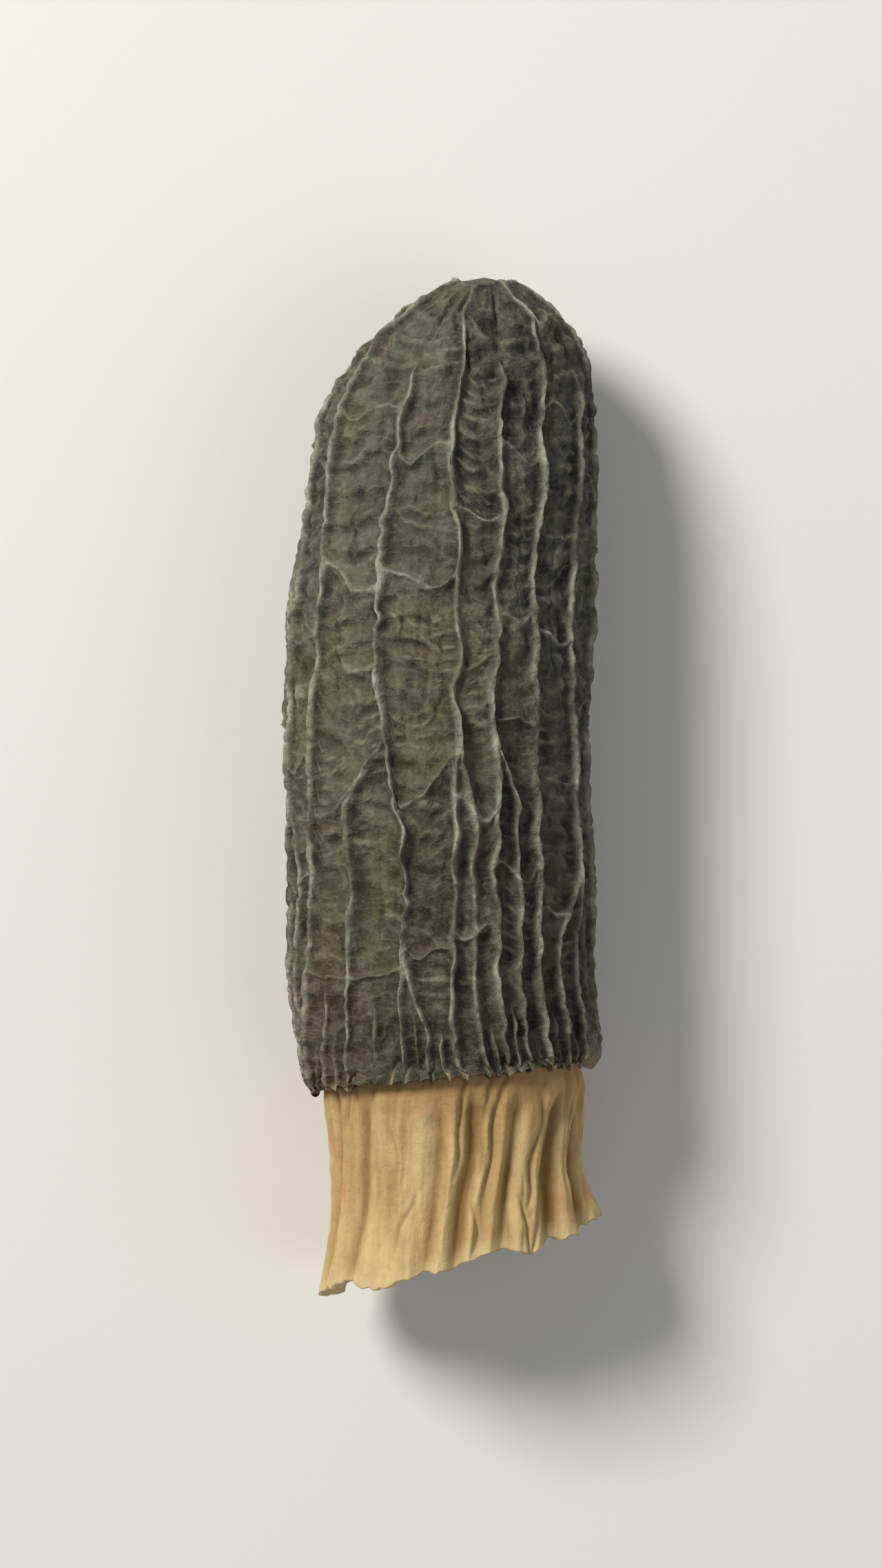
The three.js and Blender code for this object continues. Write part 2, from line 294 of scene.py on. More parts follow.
cap = {
    "outline": [  # half-width and height, rim to tip
        (10.9, 0), (11.8, 1.5), (12.2, 6), (12.3, 14), (12.3, 26), (12.1, 36),
        (11.7, 44), (11, 50), (9.5, 54.5), (6.9, 57.8), (3.6, 60.2), (0, 61),
    ],
    "lip": [(9.2, 2.6), (9.45, 1.2), (9.9, 0.3), (10.4, -0.05), (10.95, 0.12)],
    "hollowEnd": (8.0, 2.6),  # half-width and height of its lower edge
    "wall": 2.9,
    "columns": 286,
    "upperColumns": 1.5,  # how much closer columns stand on the upper side
    "upperFrom": -0.2,  # sine of the angle at which that side begins
    "columnPull": 0.6,  # how far columns draw together on crests
    "rows": 334,
    "lipRows": 12,
    "insideRows": 12,
    "firstSeed": 100,

    "blade": (0.25, 1.15),  # width and power of a crest's thin edge
    "foot": (0.95, 1.7),  # and of the foot that carries it
    "shadow": (0.85, 2.5),  # and of the painted shade in the groove beside it
    "rimFoot": 0.5,  # how much narrower feet are at the rim, where ridges stand close
    "footStrength": 0.92,
    "bladeShare": 0.55,
    "crestDrop": 0.25,
    "leanPower": 1.5,
    "branchStrength": 0.9,
    "branchFade": 1.5,
    "branchLeast": 0.12,
    "skirtStrength": 0.9,
    "skirtFadeShare": 0.55,
    "ribStrength": 0.95,
    "slantedRib": 4,  # a rib that slants by this much is twice as wide
    "ribEnds": 0.1,
    "ribPull": 0.5,
    "ribBand": (1.2, 2),  # width and power of the band that rows are pulled in
    "pullLow": 6,  # rows are pulled fully from this far above the rim
    "pullHigh": 3,  # up to this far below the tip

    "wrinkleSpacing": 1.1,
    "wrinkleDepth": 0.24,
    "wrinkleSharpness": 1.5,
    "wrinkleBow": 0.4,
    "wrinkleGap": (1.2, 2.6),  # widths of a gap between which wrinkles grow
    "skirtLow": 2,
    "skirtWrinkles": 0.25,
    "creaseDepth": 0.34,
    "creaseSharpness": 7,
    "veinHeight": 0.5,
    "veinSharpness": 11,
    "veinOnFoot": 0.8,  # how far a foot hides it
    "veinPale": 0.75,
    "billow": 0.2,  # share of the pit's depth
    "billowSpacing": 2.3,
    "billowBow": 0.5,
    "billowLeast": -0.5,
    "billowLine": 0.45,  # how far it counts as a wrinkle
    "billowGap": (1.8, 3.5),
    "billowFrom": 4,
    "swell": 0.42,  # how far the floor of a wide pit bulges
    "swellPower": 1.4,
    "swellBand": (-2, 1),  # from a branch's top
    "swellRadius": (3, 8),
    "crumple": [("fineCrumple", 0.2), ("coarseCrumple", 0.14)],
    "crumplePower": 3,
    "grit": 0.04,
    "lump": 0.24,
    "deepest": 2.9,  # depth that the relief never quite reaches

    "tipRing": 3,  # radius of the ridge that the others end in
    "tipRingBand": (-0.4, 0.2),
    "tipRingStrength": 0.9,
    "tipFade": (0.6, 3.2),  # radii between which coarse and fine relief grow
    "fineFade": (2.6, 6),
    "tipDip": 0.65,
    "tipDipBand": (0.2, 2.4),
    "tipTwistBand": (4, 10),
    "leastRadius": 2,
    "rimSlant": 1.1,
    "rimSlantFade": 8,
    "knob": 0.32,
    "knobBand": (0, 1.6),
    "knobLipBand": (0.4, 2.0),
    "liningFade": (0, 4),

    "slotShadeBand": (2.5, 9.5),  # heights between which the painted shade in the rim's slots ends
    "darkTone": 0.95,
    "otherTones": 0.45,
    "middleTone": 0.5,
    "ribToneEdge": (-0.5, 0.5),
    "branchToneEdge": (-0.3, 0.3),
    "branchTopEdge": (-1, 1),
    "paleBand": (0.2, 2.4),
    "paleBlade": (0.2, 0.9),
    "paleEdge": (-0.5, 0.5),

    "patterns": {  # strength, cells round the cap, length in millimetres and seed
        "wander": [(1.8, 16, 3.7, 5), (1.0, 24, 1.7, 8)],  # of the crests, in degrees
        "quickWander": [(1.1, 32, 0.8, 6)],
        "lean": [(0.5, 18, 6.0, 9), (0.2, 60, 1.3, 13)],
        "thickness": [(0.35, 40, 1.6, 7), (0.3, 18, 5.5, 10), (0.2, 90, 0.6, 16)],
        "notches": [(0.2, 20, 4.5, 3), (0.12, 60, 1.4, 4)],
        "ribWaver": [(0.25, 80, 4, 11)],
        "skirtBend": [(0.012, 9, 2.2, 12)],
        "wrinklePhase": [(1.1, 22, 5.5, 0)],
        "wrinkleWaver": [(0.34, 70, 1.9, 23)],
        "crease": [(1, 64, 7.0, 25)],
        "vein": [(1, 26, 4.2, 26)],
        "billowDrift": [(0.8, 18, 6, 70)],
        "lumps": [(0.14, 7, 11, 33), (0.112, 15, 4.5, 34)],
        "coarseCrumple": [(1, 44, 2.1, 44)],
        "fineCrumple": [(1, 96, 0.9, 96)],
        "grit": [(1, 140, 0.55, 22)],
        "tipRing": [(0.9, 7, 1, 71)],
        "tipTwist": [(0.16, 8, 1.6, 14)],
        "pale": [(1, 44, 5, 19)],
        "lining": [(0.25, 16, 5, 31)],
    },
    "patches": {  # mean and least, then as above
        "quickWander": (0.5, 0, 1, 24, 2.7, 15),
        "skirt": (0.72, 0.25, 0.8, 46, 1, 15),
        "wrinkle": (0.5, 0.05, 0.9, 30, 2.6, 40),
        "vein": (0.5, 0, 1, 20, 5, 27),
        "billow": (0.8, 0.15, 0.8, 14, 7, 28),
        # where the painted shade in the rim's slots shows
        "slotShade": (0.5, 0, 0.9, 50, 6, 29),
        "knob": (0.2, 0, 1.3, 28, 5, 17),
    },
}


def crestsAcross(gap):  # a ridge, a branch and the short ridges of the skirt
    return len(gap["skirt"]) + 2


def spreadColumns(count, crests):  # closer together where crests run
    t = np.arange(count) / count
    return t - cap["columnPull"] * np.sin(2 * np.pi * crests * t) / (2 * np.pi * crests)


def shareAt(t, middle):  # columns of a gap spread so that the middle one keeps to the branch
    return np.where(t < 0.5, 2 * t * middle, middle + (2 * t - 1) * (1 - middle))


def crestWander(turns, height):
    quick = patches(cap, "quickWander", turns, height) * pattern(cap, "quickWander", turns, height)
    return pattern(cap, "wander", turns, height) + quick


def layGap(gap, t, height):
    below = smoothStep(gap["top"] - height, 0, net["branchRun"]) * 0.5
    above = smoothStep(height - gap["top"], 0, net["branchRun"])
    middle = np.where(height < gap["top"], np.maximum(below, cap["branchLeast"]),
                      blend(cap["branchLeast"], 0.5, above))
    if gap["fromNext"]:
        below, middle = 1 - below, 1 - middle
    left, right = (curveAt(net["stations"], gap[side], height) for side in ("left", "right"))
    left, right = left + crestWander(left / 360, height), right + crestWander(right / 360, height)
    share = shareAt(t, middle)
    return {"middle": middle, "branchAt": below, "left": left, "right": right, "share": share,
            "turns": blend(left, right, share) / 360}


def ribOffset(rib, share, turns):
    height, rise, wave, sag, _ = rib
    offset = rise * (share - 0.5) + wave * np.sin(2 * np.pi * share) - sag * np.sin(np.pi * share)
    return offset + pattern(cap, "ribWaver", turns, height + 0 * share)


def pullRows(gap, share, turns, height):  # rows follow the ribs and draw together on them
    pull = 0
    for rib in gap["ribs"]:
        reach = min(abs(other[0] - rib[0]) for other in gap["ribs"] if other is not rib)
        away = height - rib[0]
        pull = pull + ribOffset(rib, share, turns) * (1 - smoothStep(np.abs(away), 0, reach))
        pull = pull - cap["ribPull"] * away * bump(away, *cap["ribBand"])
    ends = smoothStep(share, 0, cap["ribEnds"]) * smoothStep(1 - share, 0, cap["ribEnds"])
    ends = ends * smoothStep(height, 0, cap["pullLow"])
    ends = ends * smoothStep(body["tip"] - height, 0, cap["pullHigh"])
    return height + pull * ends


def radiusAt(height):
    return curveAt([h for _, h in cap["outline"]], [r for r, _ in cap["outline"]], height)


def standingCrests(gap, following, laid, width, height):  # distance from each crest and its strength
    share, turns = laid["share"], laid["turns"]
    ending = 1 - smoothStep(height, *net["endBand"])
    branch = cap["branchStrength"] * smoothStep(gap["top"] - height, 0, cap["branchFade"])
    crests = [
        (share * width, ending if gap["fades"] else 1),
        ((1 - share) * width, ending if following["fades"] else 1),
        ((share - laid["branchAt"]) * width, branch),
    ]
    uneven = cap["skirtStrength"] * patches(cap, "skirt", turns, 0 * height)
    for at, top in gap["skirt"]:
        skirtAt = shareAt(at, laid["middle"]) + pattern(cap, "skirtBend", at, height)
        strength = uneven * (1 - smoothStep(height, cap["skirtFadeShare"] * top, top))
        crests.append(((share - skirtAt) * width, strength))
    return crests


def crossRibs(gap, share, turns, height):
    ribs = []
    for rib in gap["ribs"]:
        away = (height - rib[0] - ribOffset(rib, share, turns)) / (1 + abs(rib[1]) / cap["slantedRib"])
        ribs.append((away, cap["ribStrength"] * rib[4]))
    return ribs


def pitTone(gap, laid, width, height, seed):  # how dark each pit is, 0 to 1
    tones = np.random.default_rng(seed).uniform(0, 1, 2 + len(gap["ribs"]))
    if gap["dark"] is not None:
        tones[:-1] = [cap["darkTone"] if k in gap["dark"] else cap["otherTones"] * tones[k]
                      for k in range(len(tones) - 1)]
    tone = tones[0] + 0 * height
    for k, rib in enumerate(gap["ribs"]):
        above = height - rib[0] - ribOffset(rib, laid["share"], laid["turns"])
        tone = tone + (tones[k + 1] - tones[k]) * smoothStep(above, *cap["ribToneEdge"])
    beside = smoothStep((laid["share"] - laid["branchAt"]) * width, *cap["branchToneEdge"])
    beside = beside * smoothStep(gap["top"] - height, *cap["branchTopEdge"])
    return tone + (tones[-1] - cap["middleTone"]) * beside


def capBlock(gap, following, t, height, seed):  # one gap's part of the skin
    laid = layGap(gap, t, height)
    height = pullRows(gap, laid["share"], laid["turns"], height)
    laid = layGap(gap, t, height)
    share, turns = laid["share"], laid["turns"]
    r = radiusAt(height)
    width = np.radians(laid["right"] - laid["left"]) * r
    standing = standingCrests(gap, following, laid, width, height)
    ring = cap["tipRing"] + pattern(cap, "tipRing", turns, 0 * height)
    inRing = 1 - smoothStep(r - ring, *cap["tipRingBand"])
    crests = [(away, strength * (1 - inRing))
              for away, strength in standing + crossRibs(gap, share, turns, height)]
    standing = crests[:len(standing)]
    crests.append((r - ring, cap["tipRingStrength"]))
    thickness = 1 + pattern(cap, "thickness", turns, height)
    aboveSkirt = smoothStep(height, cap["skirtLow"], net["skirtTop"])
    footWidth, footPower = cap["foot"]
    footWidth = footWidth * blend(cap["rimFoot"], 1, aboveSkirt)
    blade = joined([strength * bump(away / thickness, *cap["blade"]) for away, strength in crests])
    foot = joined([cap["footStrength"] * strength * bump(away, footWidth, footPower)
                   for away, strength in crests])

    bow = cap["wrinkleBow"] * np.sin(np.pi * share)
    phase = pattern(cap, "wrinklePhase", turns, height, seed)
    phase = phase + pattern(cap, "wrinkleWaver", turns, height)
    waves = 1 - np.abs(np.sin(np.pi * (height / cap["wrinkleSpacing"] + bow + phase)))
    fading = patches(cap, "wrinkle", turns, height, seed) * blend(cap["skirtWrinkles"], 1, aboveSkirt)
    fading = fading * (1 - blade) ** 2 * smoothStep(width, *cap["wrinkleGap"])
    wrinkles = waves ** cap["wrinkleSharpness"] * fading
    creases = (1 - np.abs(pattern(cap, "crease", turns, height))) ** cap["creaseSharpness"] * (1 - foot)
    veins = (1 - np.abs(pattern(cap, "vein", turns, height))) ** cap["veinSharpness"]
    veins = veins * (1 - cap["veinOnFoot"] * foot) * patches(cap, "vein", turns, height)

    drift = pattern(cap, "billowDrift", turns, height, seed) + cap["billowBow"] * bow
    billow = np.clip(np.sin(2 * np.pi * (height / cap["billowSpacing"] + drift)), cap["billowLeast"], 1)
    billow = billow * (1 - foot) * patches(cap, "billow", turns, height)
    billow = billow * smoothStep(width, *cap["billowGap"])
    billow = billow * smoothStep(height, cap["billowFrom"], net["skirtTop"])
    wrinkles = np.maximum(wrinkles, cap["billowLine"] * np.clip(billow, 0, 1))
    swell = cap["swell"] * np.sin(np.pi * share) ** cap["swellPower"]
    swell = swell * smoothStep(height - gap["top"], *cap["swellBand"]) + cap["billow"] * billow

    # painted shade: darkening beside the standing crests, and in the slots low on the rim
    grooveShade = (1 - blade) * joined([strength * bump(away, *cap["shadow"]) for away, strength in standing])
    rimSlotShade = patches(cap, "slotShade", turns, height) * (1 - smoothStep(height, *cap["slotShadeBand"]))
    return {
        "height": height, "turns": turns, "blade": blade, "ridge": blend(foot, blade, cap["bladeShare"]),
        "wrinkle": wrinkles, "crease": creases, "vein": veins,
        "swell": swell * smoothStep(r, *cap["swellRadius"]),
        "grooveShade": np.maximum(grooveShade, rimSlotShade * (1 - blade) ** 2),
        "tone": blend(pitTone(gap, laid, width, height, seed), cap["middleTone"], inRing),
    }


def layBlocks(gaps, level, onLip):  # all gaps side by side
    ends = np.array([(gap["left"][2], gap["right"][2]) for gap in gaps])  # angles at the third station
    upper = np.sin(np.radians(ends.mean(axis=1))) > cap["upperFrom"]
    widths = (ends[:, 1] - ends[:, 0]) * np.where(upper, cap["upperColumns"], 1)
    blocks = []
    for i, gap in enumerate(gaps):
        step = crestsAcross(gap)
        count = step * round(cap["columns"] * widths[i] / widths.sum() / step)
        gap["ribs"] = [(nearest(level[~onLip[:, 0], 0], rib[0]),) + rib[1:] for rib in gap["ribs"]]
        t = spreadColumns(count, step)[None, :] + 0 * level
        following = gaps[(i + 1) % len(gaps)]
        blocks.append(capBlock(gap, following, t, level + 0 * t, cap["firstSeed"] + i))
    return {name: np.concatenate([block[name] for block in blocks], axis=1) for name in blocks[0]}


def skinRelief(skin, level, angle, r, grown):  # how far the skin lies off the outline
    turns = skin["turns"]
    tipFade, fineFade = smoothStep(r, *cap["tipFade"]), smoothStep(r, *cap["fineFade"])
    pressed = smoothStep(-np.sin(angle), *net["pressedBand"])
    depth = curveAt(*net["pitDepth"], level) * blend(1, net["pressedShare"], pressed)
    relief = -depth * (1 - skin["ridge"]) * (1 - skin["swell"]) * grown
    fine = cap["wrinkleDepth"] * skin["wrinkle"] + cap["veinHeight"] * skin["vein"]
    relief = relief + (fine - cap["creaseDepth"] * skin["crease"]) * grown * fineFade
    drop = cap["crestDrop"] + pattern(cap, "notches", turns, level)
    relief = relief - drop * skin["ridge"] * tipFade
    relief = relief - (cap["lump"] + pattern(cap, "lumps", turns, level)) * tipFade
    for name, folding in cap["crumple"]:
        folded = (1 - np.abs(pattern(cap, name, turns, level))) ** cap["crumplePower"]
        relief = relief - folding * folded * fineFade
    relief = relief - cap["grit"] * (1 + pattern(cap, "grit", turns, level)) * fineFade
    relief = -cap["deepest"] * np.tanh(-relief / cap["deepest"])
    return blend(-cap["tipDip"], relief, smoothStep(r, *cap["tipDipBand"]))


def capSkin(gaps):  # the outer side: places, and the numbers for the finish
    outer = cap["lip"] + cap["outline"][1:]
    r, height, normalOut, normalUp = (v[:, None] for v in outlineRows(outer, cap["rows"]))
    level = np.clip(height, 0, body["tip"])
    row = np.arange(cap["rows"])[:, None]
    onLip = row < cap["lipRows"]
    skin = layBlocks(gaps, level, onLip)
    turns, blade = skin["turns"], skin["blade"]
    pulled = np.where(onLip, level, skin["height"])
    r = r + radiusAt(pulled) - radiusAt(level)
    height = height + pulled - level
    level = pulled

    angle = 2 * np.pi * turns
    relief = skinRelief(skin, level, angle, r, np.clip(row / cap["lipRows"], 0, 1))
    lean = pattern(cap, "lean", turns, level) * skin["ridge"] ** cap["leanPower"]
    angle = angle + lean * smoothStep(r, *cap["tipFade"]) / np.maximum(r, cap["leastRadius"])
    angle = angle + pattern(cap, "tipTwist", turns, level) * (1 - smoothStep(r, *cap["tipTwistBand"]))
    points = placeOnBody(angle, r, height, relief * normalOut, relief * normalUp)
    slant = cap["rimSlant"] * np.cos(angle) * (1 - smoothStep(level, 0, cap["rimSlantFade"]))
    knobs = cap["knob"] * blade * patches(cap, "knob", turns, 0 * level)
    knobs = knobs * (1 - smoothStep(level, *cap["knobBand"]))
    knobs = knobs * np.where(onLip, 1 - smoothStep(height, *cap["knobLipBand"]), 1)
    points[..., 1] += slant - knobs

    pale = np.where(onLip, 1, 1 - smoothStep(level, *cap["paleBand"]))
    pale = pale * smoothStep(blade, *cap["paleBlade"])
    pale = pale * smoothStep(pattern(cap, "pale", turns, 0 * level), *cap["paleEdge"])
    fineFade = smoothStep(r, *cap["fineFade"])
    # the mark beside the crests carries painted shade for the finish
    marks = {"crest": np.maximum(blade, cap["veinPale"] * skin["vein"] * fineFade),
             "wrinkle": skin["wrinkle"] * fineFade, "crease": skin["crease"] * fineFade,
             "grooveShade": skin["grooveShade"], "tone": skin["tone"], "rimPale": pale}
    return points, marks, turns


def capLining(turns):  # the wall of the hollow
    wall, low = cap["wall"], cap["hollowEnd"][1]
    top = body["tip"] - wall
    inside = [(r - wall, h) for r, h in cap["outline"] if h > low and r > 2 * wall]
    outline = [cap["hollowEnd"]] + inside + [(0, top)]
    r, height, _, _ = (v[:-1, None] for v in outlineRows(outline, cap["insideRows"] + 1))
    turns = turns[cap["lipRows"]][None, :]
    sink = pattern(cap, "lining", turns, height) * smoothStep(r, *cap["liningFade"])
    return placeOnBody(2 * np.pi * turns, r, height + 0 * turns, sink, 0 * sink), top


def makeCap(gaps):
    skin, marks, turns = capSkin(gaps)
    lining, liningTop = capLining(turns)
    tips = placeOnBody(0.0, 0.0, np.array([liningTop, body["tip"]]), 0.0, 0.0)
    tips[1] = skin[-2].mean(axis=0)
    columns = skin.shape[1]
    rows = np.concatenate([lining[::-1], skin[:-1]])
    points = np.concatenate([tips[:1], rows.reshape(-1, 3), tips[1:]])
    faces = sheetFaces(len(rows), columns, 1)
    lastRow = 1 + (len(rows) - 1) * columns
    for k in range(columns):
        n = (k + 1) % columns
        faces.append((0, 1 + n, 1 + k))
        faces.append((len(points) - 1, lastRow + k, lastRow + n))
    marks["inside"] = 0 * marks["crest"]
    kept = {}
    for name, values in marks.items():
        hidden = np.full(lining[..., 0].size + 1, 1.0 if name == "inside" else 0.0)
        kept[name] = np.concatenate([hidden, values[:-1].ravel(), values[-1:].mean(axis=1)])
    return makePiece("cap_skin", points, faces, kept)


draw = makeDraw(net["seed"])
gaps = growNet(draw)
capPiece = makeCap(gaps)


# The stem

stem = {
    "outline": [(9.4, 2.3), (9.9, -0.4), (9.7, -4), (9.6, -8), (9.9, -11), (10.4, -14)],
    "columns": 520,
    "rows": 120,
    "insideRows": 44,
    "wall": 1.3,
    "insideRelief": 0.75,  # how much of the outer relief shows inside
    "insideCut": 0.25,  # how far the inner edge of the cut lies back
    "skinDrop": 0.1,

    "furrows": [  # angle, depth, half-width of the front ones
        (36, 0.9, 1.7), (60, 0.65, 1.2), (70, 0.45, 1), (80, 0.85, 1.4), (94, 0.6, 1.2), (132, 0.6, 1.5),
    ],
    "backFurrows": 11,
    "backRanges": [(-5, 5), (0.35, 0.8), (1.1, 1.6)],  # shift in degrees, depth, half-width
    "furrowSlant": -0.8,
    "furrowPower": 1.4,
    "furrowFlank": 0.6,  # how much fuller its sides are
    "furrowEnd": (-2.0, 0.9),
    "deepest": 0.85,  # depth at which the furrow's mark is 1

    "creaseSeed": 57,
    "creaseCount": 64,
    "creaseRanges": [  # shift, middle height, reach, depth, half-width, slant
        (0, 0.9), (-14, 1), (3, 8), (0.3, 1), (0.35, 0.7), (-1.8, 0.2),
    ],
    "creaseDepth": 0.4,
    "creasePower": 1.3,
    "creaseEnd": 0.4,  # share of the reach from which it dies out
    "creaseMark": 0.7,

    "cutHeight": -12.8,
    "cutSlant": 2.6,
    "cutRaggedness": 0.35,
    "cutWaves": [(1, 5, 1), (0.6, 11, 0)],  # strength, count round the stem, shift
    "cutBand": (0, 1.6),
    "edgeDrop": 0.12,
    "edgeMark": 0.5,
    "flare": (0.75, 3.4, 0.4),  # right of the cut: how far out, its height, half-width in radians
    "underCapShadeBand": (-3.5, 0.5),  # where painted shade under the cap's rim, with some real brownish tint, darkens the flesh

    "patterns": {  # strength, cells round the stem, length in millimetres and seed
        "furrowSway": [(0.035, 9, 4.5, 51)],
        "creaseSway": [(0.05, 31, 2.6, 56)],
        "folds": [(0.1, 34, 9, 52), (0.07, 90, 6, 53), (0.05, 60, 0.9, 54)],
        "cutTeeth": [(0.28, 48, 1, 61), (0.16, 130, 1, 62)],
        "edgeTeeth": [(0.1, 100, 1, 55)],
    },
}


def growFurrows(draw):
    furrows = list(stem["furrows"])
    start = furrows[-1][0]
    spread = 360 + furrows[0][0] - start
    for i in range(stem["backFurrows"]):
        even = start + spread * (i + 1) / (stem["backFurrows"] + 1)
        moved, depth, halfWidth = (draw(*ends) for ends in stem["backRanges"])
        furrows.append((even + moved, depth, halfWidth))
    return furrows


def turnFrom(angle, centre):
    return np.arctan2(np.sin(angle - centre), np.cos(angle - centre))


def sideways(angle, centre, r, halfWidth):  # 0 on a line along the stem, 1 from its half-width on
    return np.clip(np.abs(turnFrom(angle, centre)) * r / halfWidth, 0, 1)


def creaseDepth(angle, height, r):  # fine sharp creases that run along the stem and die out
    deepest = 0 * angle
    spread = np.random.default_rng(stem["creaseSeed"])
    for i in range(stem["creaseCount"]):
        drawn = [spread.uniform(*ends) for ends in stem["creaseRanges"]]
        moved, middle, reach, depth, halfWidth, slant = drawn
        at = 2 * np.pi * (i + moved) / stem["creaseCount"]
        centre = at + np.radians(slant * height) + pattern(stem, "creaseSway", at / (2 * np.pi), height)
        ends = 1 - smoothStep(np.abs(height - middle), stem["creaseEnd"] * reach, reach)
        side = sideways(angle, centre, r, halfWidth)
        deepest = np.maximum(deepest, depth * ends * (1 - side) ** stem["creasePower"])
    return deepest


def furrowDepth(furrows, angle, height, r):
    deepest = 0 * angle
    sway = pattern(stem, "furrowSway", angle / (2 * np.pi), height)
    for at, depth, halfWidth in furrows:
        side = sideways(angle, np.radians(at + stem["furrowSlant"] * height) + sway, r, halfWidth)
        across = (1 - side) ** stem["furrowPower"] * (1 + stem["furrowFlank"] * side)
        deepest = np.maximum(deepest, depth * across)
    return deepest * (1 - smoothStep(height, *stem["furrowEnd"]))


def cutEnd(angle):
    ragged = sum(strength * np.sin(count * angle + moved) for strength, count, moved in stem["cutWaves"])
    teeth = pattern(stem, "cutTeeth", angle / (2 * np.pi), 0 * angle)
    return stem["cutHeight"] + stem["cutSlant"] * np.cos(angle) + stem["cutRaggedness"] * ragged + teeth


def stemSheet(furrows, angles, count, inset, follow, endShift):  # places, how furrowed, and heights
    top, end = stem["outline"][0][1], stem["outline"][-1][1]
    r, level, _, _ = (v[:, None] for v in outlineRows(stem["outline"], count))
    angle = angles[None, :] + 0 * r
    cut = cutEnd(angles)[None, :] + endShift
    height = top + (level - top) * (cut - top) / (end - top)
    furrow = furrowDepth(furrows, angle, height, r)
    crease = creaseDepth(angle, height, r)
    out, above, halfWidth = stem["flare"]
    aside = turnFrom(angle, 0) / halfWidth
    flare = out * np.exp(-aside ** 2) * (1 - smoothStep(height - cut, 0, above))
    relief = flare - inset - follow * (furrow + stem["skinDrop"] + stem["creaseDepth"] * crease)
    relief = relief + follow * pattern(stem, "folds", angle / (2 * np.pi), height)
    places = placeOnBody(angle, r, height, relief, 0 * relief)
    return places, np.maximum(furrow, stem["creaseMark"] * crease), height


def makeStem(draw):
    furrows = growFurrows(draw)
    columns = stem["columns"]
    angles = np.linspace(0, 2 * np.pi, columns, endpoint=False)
    outer, furrow, height = stemSheet(furrows, angles, stem["rows"], 0, 1, 0)
    inner, innerFurrow, _ = stemSheet(
        furrows, angles, stem["insideRows"], stem["wall"], stem["insideRelief"], stem["insideCut"])
    edge = 0.5 * (outer[-1:] + inner[-1:])
    edge[..., 1] -= stem["edgeDrop"] + pattern(stem, "edgeTeeth", angles / (2 * np.pi), 0 * angles)
    rows = np.concatenate([outer, edge, inner[::-1]])
    faces = [face[::-1] for face in sheetFaces(len(rows), columns)]
    lastRow = (len(rows) - 1) * columns
    for k in range(columns):
        n = (k + 1) % columns
        faces.append((lastRow + n, lastRow + k, k, n))

    def mark(*values):  # on the outside, on the edge of the cut and inside
        shapes = (part.shape[:2] for part in (outer, edge, inner))
        return np.concatenate([np.broadcast_to(value, shape) for value, shape in zip(values, shapes)])

    marks = {
        # how deep each furrow lies, which the finish turns into painted shade
        "furrow": mark(furrow, furrow[-1:], innerFurrow[::-1]) / stem["deepest"],
        "inside": mark(0, stem["edgeMark"], 1),
        "cut": mark(1 - smoothStep(height - cutEnd(angles), *stem["cutBand"]), 1, 0),
        # painted shade under the cap's rim, with some real brownish tint
        "upper": mark(smoothStep(height, *stem["underCapShadeBand"]), 0, 0),
    }
    return makePiece("stem_flesh", rows.reshape(-1, 3), faces, marks)


stemPiece = makeStem(draw)


# Finishes

def linear(red, green, blue):  # a colour given as screen values, 0 to 255, by the usual screen curve
    def one(value):
        v = value / 255
        return v / 12.92 if v <= 0.04045 else ((v + 0.055) / 1.055) ** 2.4
    return (one(red), one(green), one(blue), 1.0)


def startMaterial(name):
    material = bpy.data.materials.new(name)
    material.use_nodes = True
    tree = material.node_tree
    shader = tree.nodes["Principled BSDF"]
    coordinates = tree.nodes.new("ShaderNodeTexCoord")
    return material, tree, shader, coordinates.outputs["Object"]


def addMark(tree, name):
    node = tree.nodes.new("ShaderNodeAttribute")
    node.attribute_name = name
    return node.outputs["Fac"]


def stretched(tree, place, scale):  # patterns grow longer where the scale is under 1
    mapping = tree.nodes.new("ShaderNodeMapping")
    mapping.inputs["Scale"].default_value = scale
    tree.links.new(place, mapping.inputs["Vector"])
    return mapping.outputs["Vector"]


def addNoise(tree, place, scale, detail=4.0, roughness=0.55, stretch=None):
    if stretch:
        place = stretched(tree, place, stretch)
    node = tree.nodes.new("ShaderNodeTexNoise")
    node.inputs["Scale"].default_value = scale
    node.inputs["Detail"].default_value = detail
    node.inputs["Roughness"].default_value = roughness
    tree.links.new(place, node.inputs["Vector"])
    return node.outputs["Fac"]


foldForm = {"Detail": 4.0, "Roughness": 0.6, "Offset": 0.9, "Gain": 2.0}


def addFolds(tree, place, scale, stretch=None):  # thin raised folds that cross one another
    if stretch:
        place = stretched(tree, place, stretch)
    node = tree.nodes.new("ShaderNodeTexNoise")
    node.noise_type = "RIDGED_MULTIFRACTAL"
    node.inputs["Scale"].default_value = scale
    for socket, number in foldForm.items():
        node.inputs[socket].default_value = number
    tree.links.new(place, node.inputs["Vector"])
    return node.outputs["Fac"]


def addRange(tree, value, low, high, toLow=0.0, toHigh=1.0):
    node = tree.nodes.new("ShaderNodeMapRange")
    node.interpolation_type = "SMOOTHSTEP"
    for socket, number in zip(("From Min", "From Max", "To Min", "To Max"), (low, high, toLow, toHigh)):
        node.inputs[socket].default_value = number
    tree.links.new(value, node.inputs["Value"])
    return node.outputs["Result"]


def addProduct(tree, a, b):
    node = tree.nodes.new("ShaderNodeMath")
    node.operation = "MULTIPLY"
    for k, value in enumerate((a, b)):
        if isinstance(value, (int, float)):
            node.inputs[k].default_value = value
        else:
            tree.links.new(value, node.inputs[k])
    return node.outputs["Value"]


def addMix(tree, factor, a, b):
    node = tree.nodes.new("ShaderNodeMix")
    node.data_type = "RGBA"
    ends = [s for s in node.inputs if s.type == "RGBA"]
    for socket, value in zip(ends, (a, b)):
        if isinstance(value, tuple):
            socket.default_value = value
        else:
            tree.links.new(value, socket)
    tree.links.new(factor, node.inputs["Factor"])
    return next(s for s in node.outputs if s.type == "RGBA")


